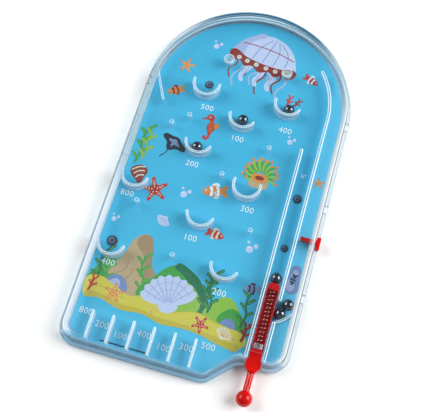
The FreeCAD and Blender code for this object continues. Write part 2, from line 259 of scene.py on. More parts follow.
# ---- playfield card ----------------------------------------------------------------------------
# Stiff board with a coloured print, lying on the tray's floor. The picture is a sea bed with a fan shell,
# weed and fish, and a jellyfish under the arch. White numbers give each cup's and each channel's
# score. The back is left as plain board.

def at(x, y, z=0.0):
    """A point given in millimetres from the case's centre line, from its front edge and from the table."""
    return Vector((x, y - CASE_L / 2, z)) / 1000


SEA = colour(72, 183, 217)
CARD_TOP = 2.4

card_print, graph = new_finish("card_print")
place = graph.node("TexCoord", output="Object")
x, y, z = place.axes()

# painted light: the blue is painted paler to the right of the launch lane and along the front, standing in
# for light reflected by the cover; it also varies a little at random
wash = graph.node("TexNoise", {"Vector": place, "Scale": 9.0, "Detail": 3.0})
fleck = graph.node("TexNoise", {"Vector": place, "Scale": 900.0, "Detail": 1.0})
painted_veil = 1 - (1 - x.smooth(0.057, 0.064)) * y.smooth(-0.128, -0.105)
sea = wash.smooth(0.35, 0.7).mix(SEA, colour(80, 189, 223))
sea = painted_veil.mix(sea, colour(104, 204, 236))
sea = (fleck.smooth(0.45, 0.75) * 0.12).mix(sea, colour(60, 168, 208))

# only the upper face is printed
from_inside = graph.node("NewGeometry", output="Backfacing")
top = z.smooth(at(0, 0, CARD_TOP - 0.15).z, at(0, 0, CARD_TOP - 0.05).z) * (1 - from_inside)
show(graph.node("BsdfPrincipled", {
    "Base Color": top.mix(colour(214, 210, 200), sea),
    "Roughness": 0.38 + 0.08 * fleck,
    "Normal": graph.node("Bump", {"Strength": 0.05, "Distance": 0.0001, "Height": fleck})}))
dress(nodes["playfield_card"], card_print)


def ink(name, shade, rub=0.06):
    """Printing ink with the faint unevenness of a halftone."""
    material, graph = new_finish("ink_" + name)
    place = graph.node("TexCoord", output="Object")
    dots = graph.node("TexNoise", {"Vector": place, "Scale": 1400.0, "Detail": 1.0})
    drift = graph.node("TexNoise", {"Vector": place, "Scale": 40.0, "Detail": 2.0})
    paler = tuple(c + (1 - c) * rub for c in shade[:3]) + (1,)
    unevenness = (0.5 * dots + 0.5 * drift).smooth(0.35, 0.75)
    show(graph.node("BsdfPrincipled", {
        "Base Color": unevenness.mix(shade, paler),
        "Roughness": 0.36 + 0.1 * dots}))
    return material


INKS = {
    "sand": colour(222, 200, 72), "dune": colour(206, 180, 60), "green": colour(70, 160, 66),
    "leaf": colour(150, 190, 66), "deep": colour(34, 116, 74), "rock": colour(198, 164, 124),
    "stone": colour(172, 138, 102), "coral": colour(150, 44, 34), "red": colour(204, 52, 40),
    "orange": colour(232, 140, 56), "shell": colour(204, 208, 234), "lilac": colour(176, 182, 218),
    "slate": colour(124, 142, 184), "night": colour(22, 26, 42), "cream": colour(230, 224, 190),
    "white": colour(238, 246, 252),
}
ink_names = list(INKS)
INK_LIFT, INK_STEP, SCORE_LIFT = 0.01, 0.0016, 0.17
prints = bmesh.new()
layer, last_tone = 0, ""


def print_shape(shape, tone, spot):
    """Adds a flat curve or text, moved to its spot, to the printed picture in one ink."""
    piece = bpy.data.objects.new("ink", shape)
    bpy.context.collection.objects.link(piece)
    bpy.context.view_layer.update()
    settled = piece.evaluated_get(bpy.context.evaluated_depsgraph_get())
    flat = bpy.data.meshes.new_from_object(settled)
    flat.transform(Matrix.Translation(spot))
    before = len(prints.faces)
    prints.from_mesh(flat)
    prints.faces.ensure_lookup_table()
    for face in prints.faces[before:]:
        face.material_index = ink_names.index(tone)
    bpy.data.objects.remove(piece)
    bpy.data.meshes.remove(flat)


def lay_down(curve, tone):
    """Prints a shape a hair above the card and above what was laid down before it. The layers start
    again at 0 for things that lie apart."""
    global layer, last_tone
    layer, last_tone = layer + (0.3 if tone == last_tone else 1), tone
    print_shape(curve, tone, Vector((0, 0, CARD_TOP + INK_LIFT + INK_STEP * layer)) / 1000)


class Motif:
    """A place on the card for one drawn thing, with its own scale in millimetres and its own turn."""

    def __init__(self, x, y, scale=1.0, turn=0.0, flip=1):
        self.x, self.y, self.scale, self.flip = x, y, scale, flip
        self.cos, self.sin = math.cos(math.radians(turn)), math.sin(math.radians(turn))

    def spot(self, point):
        px, py = point[0] * self.scale * self.flip, point[1] * self.scale
        return at(self.x + px * self.cos - py * self.sin, self.y + px * self.sin + py * self.cos)

    def line(self, kind, points, handles):
        curve = bpy.data.curves.new("print", "CURVE")
        curve.dimensions, curve.resolution_u = kind, 6
        spline = curve.splines.new("BEZIER")
        spline.bezier_points.add(len(points) - 1)
        for knot, point in zip(spline.bezier_points, points):
            knot.co = self.spot(point)
            knot.handle_left_type = knot.handle_right_type = handles
        return curve, spline

    def patch(self, tone, points, handles="AUTO"):
        """A filled shape with a soft outline through the points."""
        curve, spline = self.line("2D", points, handles)
        curve.fill_mode, spline.use_cyclic_u = "BOTH", True
        lay_down(curve, tone)

    def stroke(self, tone, width, points):
        """A flat brush line through the points."""
        curve, spline = self.line("3D", points, "AUTO")
        curve.twist_mode, curve.extrude = "Z_UP", width * self.scale / 2000
        for knot in spline.bezier_points:
            knot.tilt = math.pi / 2
        lay_down(curve, tone)

    def ring(self, tone, x, y, radius, count=8, wave=0.0, lobes=0, flat=1.0):
        """A round spot, or a lobed one when wave is given."""
        turns = [2 * math.pi * i / count for i in range(count)]
        reach = [radius * (1 + wave * math.cos(lobes * a)) for a in turns]
        self.patch(tone, [(x + r * math.cos(a), y + flat * r * math.sin(a)) for r, a in zip(reach, turns)])


def starfish(tone, x, y, radius, turn):
    star = Motif(x, y, radius, turn)
    star.ring(tone, 0, 0, 1.0, 10, 0.42, 5)
    for i in range(5):
        angle = 2 * math.pi * i / 5
        for reach, size in ((0.3, 0.075), (0.6, 0.09), (0.88, 0.07)):
            star.ring("cream", reach * math.cos(angle), reach * math.sin(angle), size)


def urchin(x, y, radius):
    spines = Motif(x, y, radius)
    spines.ring("night", 0, 0, 1.0, 36, 0.16, 18)
    spines.ring("slate", -0.1, 0.12, 0.5, 16, 0.12, 8)
    spines.ring("night", -0.06, 0.08, 0.36, 16, 0.12, 8)


def scallop(x, y, radius, turn, tone="shell", rib="lilac"):
    """A fan shell: lobed edge, ears at the hinge and ribs running out from it."""
    fan = Motif(x, y, radius, turn)
    spread = [math.radians(a) for a in range(-68, 69, 17)]
    edge = []
    for first, last in zip(spread, spread[1:] + [None]):
        edge.append((math.sin(first), math.cos(first)))
        if last is not None:
            edge.append((0.93 * math.sin((first + last) / 2), 0.93 * math.cos((first + last) / 2)))
    fan.patch(tone, [(-0.3, -0.02), (0.3, -0.02), (0.24, -0.2), (-0.24, -0.2)])
    fan.patch(tone, edge + [(0.12, -0.06), (-0.12, -0.06)])
    for angle in [(a + b) / 2 for a, b in zip(spread, spread[1:])]:
        fan.stroke(rib, 0.045, [(0.1 * math.sin(angle), 0.1 * math.cos(angle)),
                                (0.9 * math.sin(angle), 0.9 * math.cos(angle))])
    for reach in (0.5, 0.74):
        fan.stroke(rib, 0.03, [(reach * math.sin(a), reach * math.cos(a)) for a in spread])


def weed(tone, x, y, height, lean, width=1.5, leaves=6):
    """A stem that sways, with leaves on both sides."""
    plant = Motif(x, y)
    stem = [(0, 0), (0.15 * lean + 1.5, 0.33 * height), (0.55 * lean - 1.2, 0.66 * height), (lean, height)]
    plant.stroke(tone, width, stem)
    veins = []
    for i in range(leaves):
        rise = (i + 1.0) / leaves
        side = 1 if i % 2 else -1
        sx, sy = lean * rise ** 1.3 + 0.8 * math.sin(6 * rise), height * rise
        plant.patch(tone, [(sx, sy - 1.4), (sx + side * 2.6, sy + 0.2), (sx + side * 5.0, sy + 3.6),
                           (sx + side * 1.8, sy + 2.4)])
        veins.append([(sx + side * 0.6, sy - 0.2), (sx + side * 2.6, sy + 1.3),
                      (sx + side * 4.2, sy + 2.9)])
    for vein in veins:
        plant.stroke("leaf", 0.3, vein)


def fish(body, band, x, y, length, turn=0.0, flip=1):
    """A plain side-on fish with a fin, two bands and an eye."""
    swimmer = Motif(x, y, length, turn, flip)
    swimmer.patch(band, [(-0.14, 0.18), (0.0, 0.36), (0.18, 0.3), (0.14, 0.14)])
    swimmer.patch(band, [(-0.06, -0.16), (0.06, -0.32), (0.16, -0.26), (0.12, -0.12)])
    swimmer.patch(body, [(0.24, 0.0), (0.52, 0.22), (0.44, 0.0), (0.52, -0.22)])
    swimmer.patch(body, [(-0.5, 0.0), (-0.28, 0.2), (0.05, 0.24), (0.3, 0.07), (0.3, -0.07), (0.05, -0.22),
                         (-0.28, -0.18)])
    swimmer.patch(band, [(-0.2, 0.2), (-0.12, 0.22), (-0.08, 0.0), (-0.12, -0.2), (-0.2, -0.18),
                         (-0.16, 0.0)])
    swimmer.patch(band, [(0.06, 0.21), (0.14, 0.18), (0.18, 0.0), (0.14, -0.17), (0.06, -0.2), (0.1, 0.0)])
    swimmer.ring("white", -0.36, 0.05, 0.045)
    swimmer.ring("night", -0.365, 0.05, 0.025)


def branch(tone, x, y, size, turn, width):
    """A forked coral branch."""
    twig = Motif(x, y, 1.0, -turn)
    twig.stroke(tone, width, [(0, 0), (0.06 * size, 0.5 * size), (0, size)])
    twig.ring(tone, 0, size, 0.6 * width)
    angle = math.radians(turn)
    tip = (x + size * math.sin(angle), y + size * math.cos(angle))
    fork = (x + 0.5 * size * math.sin(angle + 0.1), y + 0.5 * size * math.cos(angle + 0.1))
    if size > 4.5:
        branch(tone, *fork, 0.5 * size, turn + 46, 0.74 * width)
        branch(tone, *fork, 0.45 * size, turn - 44, 0.7 * width)
        branch(tone, *tip, 0.5 * size, turn - 26, 0.74 * width)
        branch(tone, *tip, 0.55 * size, turn + 28, 0.74 * width)


def bubbles(x, y, size):
    for dx, dy, r in ((0, 0, 1.0), (1.5, 1.2, 0.62), (-0.7, 1.9, 0.42)):
        bubble = Motif(x + dx * size, y + dy * size, r * size)
        bubble.ring("shell", 0, 0, 1.0)
        bubble.patch("white", [(-0.6, 0.2), (-0.3, 0.62), (0.1, 0.7), (-0.25, 0.4)])


# the sea bed: rock, weed-covered mounds, sand with ripples, and a large fan shell
ground = Motif(0, 0)
ground.patch("green", [(-69.5, 44), (-66, 58), (-60, 66), (-53, 64), (-47, 54), (-40, 44)])
ground.patch("rock", [(-56, 44), (-57, 58), (-51, 70), (-46, 84), (-38, 88), (-32, 79), (-30, 68),
                      (-22, 58), (-18, 44)])
ground.patch("stone", [(-45, 82), (-38, 88), (-32, 79), (-30, 68), (-22, 58), (-19, 46), (-28, 50),
                       (-34, 62), (-37, 72)])
ground.stroke("stone", 0.7, [(-52, 56), (-47, 60), (-46, 66)])
ground.stroke("stone", 0.7, [(-50, 49), (-44, 54), (-41, 62)])
ground.patch("green", [(-34, 44), (-26, 60), (-14, 72), (0, 70), (10, 60), (16, 44)])
ground.patch("deep", [(-14, 72), (0, 70), (10, 60), (16, 44), (4, 46), (0, 58), (-6, 66)])
ground.patch("leaf", [(-26, 44), (-20, 56), (-9, 62), (3, 60), (9, 44)])
ground.patch("leaf", [(14, 42), (18, 54), (27, 60), (35, 55), (39, 42)])
ground.patch("green", [(24, 42), (27, 50), (34, 53), (41, 48), (44, 40)])
weed("deep", -65.5, 46, 25, 3)
weed("green", -59, 44, 22, 2)
weed("deep", 40, 42, 27, 2)
for x, height, lean in ((-33, 26, -3), (11, 28, 4), (16, 22, -2)):
    weed("green" if x < 0 else "deep", x, 46, height, lean)
ground.patch("slate", [(-58, 45), (-56, 52), (-49, 55), (-43, 51), (-42, 44)])
ground.patch("lilac", [(-56, 45), (-54, 50), (-49, 52), (-47, 47), (-50, 44)])
ground.patch("slate", [(26, 38), (28, 44), (33, 46), (37, 42), (37, 37)])
ground.patch("sand", [(-70.5, 48), (-62, 51), (-50, 47), (-38, 43), (-28, 46), (-16, 44), (-4, 41), (8, 44),
                      (20, 42), (32, 40), (43, 38), (47, 33), (43, 28), (30, 27), (16, 30), (2, 31),
                      (-12, 30), (-26, 33), (-42, 32), (-58, 36), (-69, 36), (-70.8, 42)])
ground.patch("dune", [(-69, 36), (-58, 36), (-42, 32), (-26, 33), (-12, 30), (2, 31), (16, 30), (30, 27),
                      (43, 28), (32, 31), (16, 33), (0, 34), (-14, 34), (-28, 36), (-42, 36), (-56, 39)])
for shift, left_end in ((0, -66), (3, -30), (1.5, 4)):
    ground.stroke("dune", 0.7, [(left_end, 43 + 0.3 * shift), (left_end + 8, 44), (left_end + 18, 41),
                                (left_end + 26, 40)])
for x, y, r in ((-64, 38, 0.8), (-46, 35.5, 0.6), (-20, 36, 0.9), (-17, 37.4, 0.5), (6, 33.5, 0.7),
                (27, 30, 0.6), (38, 33, 0.9), (-36, 40, 0.5), (18, 36.5, 0.5)):
    ground.ring("rock", x, y, r)
scallop(-11, 44, 21, 14)
scallop(30, 33, 6.5, -24, "cream", "orange")
branch("coral", 43, 33, 9, 8, 1.9)
branch("red", -67, 39, 8, 10, 1.7)
starfish("orange", -49, 42, 5.0, 20)
starfish("red", 14, 37, 4.4, 62)

# open water above it
layer = 0
scallop(-31, 103, 6.0, 150)
bubbles(32, 97, 2.6)
bubbles(-24, 124, 2.4)
bubbles(-66, 93, 1.8)
bubbles(39, 184, 2.0)
starfish("red", -45, 122, 7.0, 40)
fish("orange", "white", -3, 132, 18, 14)
fish("red", "cream", 6, 101, 13, -8, -1)
fish("slate", "night", 41, 70, 12, 10)
urchin(-62, 77, 4.0)

cone = Motif(-60, 132, 11, 24)
cone.patch("coral", [(-0.5, 0.34), (-0.1, 0.5), (0.36, 0.4), (0.56, 0.0), (0.2, -0.5), (-0.06, -0.9),
                     (-0.3, -0.5), (-0.52, -0.06)])
for rise in (0.3, 0.02, -0.28):
    cone.stroke("cream", 0.08, [(-0.46 + 0.3 * (0.3 - rise), rise - 0.06), (0.0, rise + 0.06),
                                (0.46 - 0.3 * (0.3 - rise), rise)])
weed("green", -66, 138, 30, 3)
weed("leaf", -62, 142, 22, 2, 1.3, 5)

ray = Motif(-43, 160, 10, -28)
ray.patch("night", [(0, 0.62), (0.34, 0.5), (1.05, 0.12), (0.44, -0.2), (0.12, -0.56), (-0.12, -0.56),
                    (-0.44, -0.2), (-1.05, 0.12), (-0.34, 0.5)])
ray.stroke("night", 0.07, [(0, -0.5), (0.08, -0.9), (-0.04, -1.4)])
ray.patch("slate", [(0, 0.4), (0.24, 0.26), (0.5, 0.1), (0.14, 0.0), (0, -0.26), (-0.14, 0.0), (-0.5, 0.1),
                    (-0.24, 0.26)])

flower = Motif(25, 156, 13)
flower.patch("rock", [(-0.5, -0.95), (-0.4, -0.5), (0.4, -0.5), (0.5, -0.95), (0.0, -1.05)])
for i in range(19):
    angle = math.radians(-22 + 224 * i / 18)
    reach = 0.92 + 0.1 * math.cos(2.6 * i)
    flower.stroke("green" if i % 2 else "leaf", 0.13, [
        (0.3 * math.cos(angle), -0.32 + 0.3 * math.sin(angle)),
        (0.62 * math.cos(angle + 0.12), -0.3 + 0.7 * math.sin(angle + 0.12)),
        (reach * math.cos(angle), -0.2 + reach * math.sin(angle))])
    flower.ring("orange", reach * math.cos(angle), -0.2 + reach * math.sin(angle), 0.085)
flower.ring("orange", 0, -0.42, 0.46, 20, 0.07, 10, 0.6)
flower.ring("coral", 0, -0.42, 0.26, 8, 0.0, 0, 0.5)

# seahorse, drawn from snout to curled tail
horse = Motif(-21, 181, 10.5, 6)
horse.patch("red", [(-0.62, 0.52), (-0.36, 0.62), (-0.2, 0.86), (0.06, 0.9), (0.24, 0.66), (0.2, 0.4),
                    (0.36, 0.1), (0.34, -0.3), (0.14, -0.62), (0.06, -0.92), (-0.12, -1.1), (-0.34, -1.0),
                    (-0.36, -0.8), (-0.22, -0.76), (-0.16, -0.9), (-0.06, -0.8), (-0.08, -0.56),
                    (-0.16, -0.3), (-0.2, 0.0), (-0.06, 0.24), (-0.12, 0.46), (-0.36, 0.48)])
horse.patch("orange", [(0.34, 0.16), (0.58, 0.22), (0.6, -0.1), (0.36, -0.14)])
for rise in (0.3, 0.12, -0.06, -0.24, -0.42):
    horse.stroke("orange", 0.05, [(-0.1 + 0.12 * abs(rise), rise - 0.03), (0.1, rise + 0.03),
                                  (0.28 - 0.1 * abs(rise), rise)])
horse.ring("cream", -0.08, 0.68, 0.07)
horse.ring("night", -0.08, 0.68, 0.04)

# jellyfish under the arch: pale bell with seams, a dark frill with spots, and trailing arms
layer = 0
jelly = Motif(3, 243, 25, -9)
for i, x in enumerate((-0.8, -0.6, -0.36, -0.12, 0.14, 0.4, 0.62, 0.82)):
    drop = 0.85 + 0.28 * math.sin(2.1 * i)
    jelly.stroke("lilac" if i % 2 else "coral", 0.05, [(x, -0.1), (x + 0.08, -0.35 * drop),
                                                       (x - 0.07, -0.7 * drop), (x + 0.05, -drop)])
for x, lean in ((-0.34, -0.08), (0.0, 0.03), (0.34, 0.1)):
    jelly.patch("shell", [(x - 0.13, -0.1), (x + 0.13, -0.1), (x + 0.15 + lean, -0.4),
                          (x + 0.04 + lean, -0.62), (x + 0.08 + lean, -0.84), (x - 0.1 + lean, -0.66),
                          (x - 0.04 + lean, -0.42)])
    jelly.stroke("lilac", 0.03, [(x, -0.14), (x + 0.05 + 0.5 * lean, -0.4), (x + lean, -0.7)])
jelly.patch("shell", [(-1.0, 0.0), (-0.95, 0.34), (-0.66, 0.74), (-0.26, 0.94), (0.2, 0.95), (0.62, 0.76),
                      (0.93, 0.36), (1.0, 0.0), (0.55, -0.08), (0.0, -0.11), (-0.55, -0.08)])
jelly.patch("lilac", [(-1.0, 0.0), (-0.95, 0.34), (-0.66, 0.74), (-0.26, 0.94), (-0.5, 0.66), (-0.66, 0.34),
                      (-0.7, 0.02)])
for x in (-0.36, -0.02, 0.32, 0.66):
    jelly.stroke("slate", 0.025, [(0.1 + 0.3 * x, 0.9 - 0.1 * abs(x)), (0.06 + 0.86 * x, 0.5), (x, 0.02)])
jelly.stroke("coral", 0.03, [(-0.84, 0.44), (-0.3, 0.5), (0.3, 0.5), (0.86, 0.42)])
jelly.patch("coral", [(-1.05, 0.1), (-0.5, 0.0), (0.0, -0.03), (0.5, 0.0), (1.05, 0.1), (1.06, -0.1),
                      (0.9, -0.25), (0.7, -0.18), (0.5, -0.31), (0.28, -0.23), (0.0, -0.35), (-0.28, -0.23),
                      (-0.5, -0.31), (-0.7, -0.18), (-0.9, -0.25), (-1.06, -0.1)])
for x in (-0.74, -0.46, -0.16, 0.16, 0.46):
    jelly.ring("cream", x, -0.13 + 0.06 * x * x, 0.07)
    jelly.ring("lilac", x, -0.13 + 0.06 * x * x, 0.035)
jelly.ring("sand", 0.77, -0.07, 0.11)
jelly.ring("orange", 0.77, -0.07, 0.06)

# small things round the upper cups
layer = 0
branch("red", 29, 212, 6.5, 10, 1.7)
branch("coral", 34, 213, 5.5, 34, 1.5)
urchin(-31, 214, 3.4)
fish("orange", "coral", -54, 203, 13, 30)
starfish("orange", -52, 226, 4.6, 12)
bubbles(-35, 248, 2.2)
fish("red", "white", 42, 238, 12, -24, -1)

# the two lanes on the right
urchin(55, 142, 3.4)
urchin(55.3, 104, 2.8)
bubbles(54.4, 160, 1.2)
starfish("orange", 66.6, 158, 3.2, 24)
Motif(66.8, 84).patch("slate", [(-3.6, -9), (-4, 3), (-3, 9), (2.4, 10), (3.8, 2), (3.6, -9)])
Motif(66.8, 84).patch("lilac", [(-3, -8), (-2.6, 2), (0.4, 7), (1, -1), (0.4, -8)])
fish("night", "slate", 66.5, 84, 8, 80)

# scores in plain figures, and a ruled line under the channels
SCORE_HEIGHT = 6.2
SCORES = {
    "500": [(-27.2, 194.9), (23.3, 24.0)],
    "100": [(1.1, 176.2), (-10.1, 93.7), (-35.4, 14.9), (-5.3, 15.1)],
    "400": [(33.4, 192.0), (-59.8, 61.5), (-20.2, 20.0)],
    "200": [(-25.0, 148.2), (20.2, 61.3), (-49.5, 18.7)],
    "800": [(-63.3, 114.0), (-63.1, 24.8)],
    "300": [(22.7, 124.6), (9.4, 19.3)],
}
for score, spots in SCORES.items():
    for spot in spots:
        figures = bpy.data.curves.new("score", "FONT")
        figures.body, figures.size = score, SCORE_HEIGHT / 1000
        figures.align_x, figures.align_y = "CENTER", "CENTER"
        figures.offset, figures.space_character = 0.00002, 1.08
        figures.resolution_u = 4
        print_shape(figures, "white", at(*spot, CARD_TOP + SCORE_LIFT))
ground.stroke("night", 0.9, [(-47.5, 8.6), (-35, 8.7), (-14, 8.6)])

sheet = bpy.data.meshes.new("card_picture")
for face in prints.faces:
    if face.normal.z < 0:
        face.normal_flip()
prints.to_mesh(sheet)
picture = bpy.data.objects.new("card_picture", sheet)
bpy.context.collection.objects.link(picture)
for name in ink_names:
    sheet.materials.append(ink(name, INKS[name]))
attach(picture, "case")


# ---- rails, cups and pins ----------------------------------------------------------------------
# Thin upright walls and round pegs, moulded in one with the clear cover and hanging down to just above
# the card. Their edges carry painted white lines of highlight, and their sides are almost invisible.

WALL_FOOT, WALL_HEAD = 2.7, 11.38
LANE_X, LANE_W = 55.1, 9.8
RAIL_T, RAIL_FOOT, RAIL_ROUND = 2.4, 22.8, 0.8
LEFT_RAIL = LANE_X - (LANE_W + RAIL_T) / 2
RIGHT_RAIL = LANE_X + (LANE_W + RAIL_T) / 2
LAUNCH_RAIL_HEAD = ARCH_Y - 29.1
OUTER_RAIL_FOOT, OUTER_RAIL_DEG = 66.0, 37
RAMP_X, RAMP_Y, RAMP_R, RAMP_T = LANE_X - 3.6, 71.5, 23.55, 1.7
RAMP_FOOT_DEG, RAMP_DEG = 25, 31.5
CHANNEL_WALL_L = 27.6
RIB_HEAD, RIB_FOOT, RIB_T = (-70.2, 212.0), (-59.3, 189.6), 1.6
CUP_R, CUP_T = 9.7, 2.0
CUPS = {    # the middle of each cup, and how many degrees its left and right ends rise above it
    "cup_1": (-31.8, 211.2, 7, 2), "cup_2": (1.3, 192.3, -2, -26), "cup_3": (30.8, 210.7, 4, -24),
    "cup_4": (-24.0, 164.5, -8, -21), "cup_5": (-60.4, 127.5, -2, -14), "cup_6": (18.3, 140.2, 14, 10),
    "cup_7": (-7.1, 111.3, -8, -16), "cup_8": (-60.6, 75.0, -2, -13), "cup_9": (19.5, 79.2, -4, -22),
}
DIVIDER_X, DIVIDER_PITCH, DIVIDER_COUNT = -56.3, 14.3, 6
DIVIDER_FOOT, DIVIDER_L, DIVIDER_T = 6.2, 18.8, 1.8
PIN_D = 3.4
PINS = ((-47.5, 173.3), (26.2, 172.0), (-1.0, 143.5), (-53.1, 108.1), (29.4, 107.9), (-17.3, 76.5),
        (-36.6, 182.4), (-0.2, 127.7))
POST_D, POST_BORE = 8.0, 5.2
POSTS = ((-21.2, 235.0), (23.4, 235.0))


def rib_plastic(name, top, side, rim=0.97, foot=0.15):
    """Clear moulded wall: a painted white highlight along its rounded upper edges, fainter along its foot,
    a painted pale sheen on its top and nearly clear on its sides where they are seen at a slant."""
    material, graph = new_finish(name)
    place = graph.node("TexCoord", output="Object")
    height = place.axes()[2] * 1000.0
    cloud = graph.node("TexNoise", {"Vector": place, "Scale": 150.0, "Detail": 2.0})
    flatness = abs(graph.node("NewGeometry", output="Normal").axes()[2])
    level = flatness.smooth(0.97, 0.998)
    upright = 1 - flatness.smooth(0.05, 0.2)
    slant = graph.node("LayerWeight", {"Blend": 0.5}, output="Facing")
    # painted highlight: the rounded edges show white, most near the top (rim) and faintly at the foot
    edge = height.smooth(6.0, 9.0) * (rim - foot) + foot
    shown = ((level * top + upright * (1 - slant) * side) * (0.8 + 0.4 * cloud)
             + (1 - level) * (1 - upright) * edge)
    body = graph.node("BsdfPrincipled", {
        "Base Color": upright.mix(colour(250, 253, 255), colour(220, 238, 248)),
        "Roughness": 0.1 + 0.1 * cloud,
        "Specular IOR Level": 0.5})
    clear = graph.node("BsdfTransparent", {"Color": colour(246, 252, 255)})
    show(graph.node("MixShader", {0: shown.at_most(0.97), 1: clear, 2: body}))
    return material


rail_clear = rib_plastic("rail_clear", 0.05, 0.3, rim=1.0, foot=0.06)
cup_clear = rib_plastic("cup_clear", 0.4, 0.9, foot=0.7)
bar_clear = rib_plastic("bar_clear", 0.7, 0.35, foot=0.3)
peg_clear = rib_plastic("peg_clear", 0.1, 0.4, rim=0.7)


SHARP = 0.6    # radians between two faces: a shallower edge is shaded smooth


def settle(mesh, name, finish, slot, *stands_for):
    """Makes the finished piece from its mesh: smooth faces, sharp corners, riding on the case."""
    for edge in mesh.edges:
        edge.smooth = len(edge.link_faces) == 2 and edge.calc_face_angle(0) < SHARP
    for face in mesh.faces:
        face.smooth = True
    made = bpy.data.meshes.new(name)
    mesh.to_mesh(made)
    mesh.free()
    piece = bpy.data.objects.new(name, made)
    bpy.context.collection.objects.link(piece)
    dress(piece, finish)
    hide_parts(*stands_for)
    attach(piece, "case")
    return piece


def of_kind(geometry, kind):
    return [part for part in geometry if isinstance(part, kind)]


def pour(part, mesh):
    """Adds a finished part to a piece's mesh."""
    made = bpy.data.meshes.new("part")
    part.to_mesh(made)
    part.free()
    mesh.from_mesh(made)
    bpy.data.meshes.remove(made)


def add_wall(mesh, start, heading, runs, thick, round_start=True, round_end=True, low=WALL_FOOT,
             high=WALL_HEAD, edge_round=0.5):
    """Adds an upright wall. It starts at a point, goes in a direction and follows straight runs, given
    as a length, and bends, given as a radius and an angle that is positive to the left."""
    plan = bmesh.new()
    spot = at(*start, low)
    ahead = Matrix.Rotation(math.radians(heading), 3, "Z") @ Vector((1, 0, 0))
    left = Vector((-ahead.y, ahead.x, 0))
    half = thick / 2000
    edge = plan.edges.new([plan.verts.new(spot + left * half), plan.verts.new(spot - left * half)])
    ends = [(edge, spot, -left)]
    for run in runs:
        if isinstance(run, tuple):
            radius, angle = run
            side = 1 if angle > 0 else -1
            centre = spot + left * (side * radius / 1000)
            steps = max(6, int(abs(angle) * radius / 45))
            swept = bmesh.ops.spin(plan, geom=[edge, *edge.verts], cent=centre, axis=(0, 0, 1),
                                   angle=math.radians(angle), steps=steps, use_duplicate=False)
            edge = of_kind(swept["geom_last"], bmesh.types.BMEdge)[0]
            turn = Matrix.Rotation(math.radians(angle), 3, "Z")
            spot = centre + turn @ (spot - centre)
            ahead, left = turn @ ahead, turn @ left
        else:
            grown = bmesh.ops.extrude_edge_only(plan, edges=[edge])["geom"]
            edge = of_kind(grown, bmesh.types.BMEdge)[0]
            bmesh.ops.translate(plan, verts=edge.verts, vec=ahead * (run / 1000))
            spot = spot + ahead * (run / 1000)
    ends.append((edge, spot, left))
    for (tip, centre, outward), wanted in zip(ends, (round_start, round_end)):
        if wanted:
            corner = max(tip.verts, key=lambda v: (v.co - centre).dot(outward))
            spoke = plan.edges.new([plan.verts.new(centre), plan.verts.new(corner.co)])
            bmesh.ops.subdivide_edges(plan, edges=[tip], cuts=1)
            bmesh.ops.spin(plan, geom=[spoke, *spoke.verts], cent=centre, axis=(0, 0, 1), angle=-math.pi,
                           steps=12, use_duplicate=False)
    bmesh.ops.remove_doubles(plan, verts=plan.verts, dist=1e-6)
    bmesh.ops.dissolve_faces(plan, faces=plan.faces)
    bmesh.ops.recalc_face_normals(plan, faces=plan.faces)
    for face in plan.faces:
        if face.normal.z > 0:
            face.normal_flip()
    grown = bmesh.ops.extrude_face_region(plan, geom=plan.faces, use_keep_orig=True)["geom"]
    bmesh.ops.translate(plan, verts=of_kind(grown, bmesh.types.BMVert), vec=(0, 0, (high - low) / 1000))
    bmesh.ops.recalc_face_normals(plan, faces=plan.faces)
    rims = [e for e in plan.edges if any(abs(f.normal.z) > 0.9 for f in e.link_faces)]
    bmesh.ops.bevel(plan, geom=rims, offset=edge_round / 1000, offset_type="OFFSET", segments=3,
                    profile=0.5, affect="EDGES", material=-1, clamp_overlap=False)
    pour(plan, mesh)


rail = bmesh.new()
add_wall(rail, (LEFT_RAIL, RAIL_FOOT), 90, [LAUNCH_RAIL_HEAD - RAIL_FOOT], RAIL_T, round_start=False,
         edge_round=RAIL_ROUND)
settle(rail, "launch_rail_clear", rail_clear, "rib_plastic", "launch_rail")
rail = bmesh.new()
add_wall(rail, (RIGHT_RAIL, OUTER_RAIL_FOOT), 90, [ARCH_Y - OUTER_RAIL_FOOT, (RIGHT_RAIL, OUTER_RAIL_DEG)],
         RAIL_T, edge_round=RAIL_ROUND)
settle(rail, "outer_rail_clear", rail_clear, "rib_plastic", "outer_rail", "outer_rail_bend")

ramp = bmesh.new()
foot = math.radians(RAMP_FOOT_DEG)
add_wall(ramp, (RAMP_X + RAMP_R * math.sin(foot), RAMP_Y - RAMP_R * math.cos(foot)), RAMP_FOOT_DEG,
         [(RAMP_R, RAMP_DEG)], RAMP_T, round_start=False, round_end=False)
add_wall(ramp, (RIGHT_RAIL, RAIL_FOOT), 90, [CHANNEL_WALL_L], RAIL_T, round_start=False, round_end=False,
         edge_round=RAIL_ROUND)
settle(ramp, "feed_ramp_clear", rail_clear, "rib_plastic", "feed_ramp")

rib = bmesh.new()
dx, dy = RIB_FOOT[0] - RIB_HEAD[0], RIB_FOOT[1] - RIB_HEAD[1]
add_wall(rib, RIB_HEAD, math.degrees(math.atan2(dy, dx)), [math.hypot(dx, dy)], RIB_T)
settle(rib, "deflector_rib_clear", rail_clear, "rib_plastic", "deflector_rib")

for name, (cx, cy, left_rise, right_rise) in CUPS.items():
    cup = bmesh.new()
    opening = math.radians(180 - left_rise)
    add_wall(cup, (cx + CUP_R * math.cos(opening), cy + CUP_R * math.sin(opening)), 270 - left_rise,
             [(CUP_R, 180 + left_rise + right_rise)], CUP_T)
    settle(cup, name + "_clear", cup_clear, "rib_plastic", name)

for index in range(DIVIDER_COUNT):
    bar = bmesh.new()
    add_wall(bar, (DIVIDER_X + DIVIDER_PITCH * index, DIVIDER_FOOT), 90, [DIVIDER_L], DIVIDER_T,
             round_start=False)
    settle(bar, f"divider_{index + 1}_clear", bar_clear, "rib_plastic", f"divider_{index + 1}")


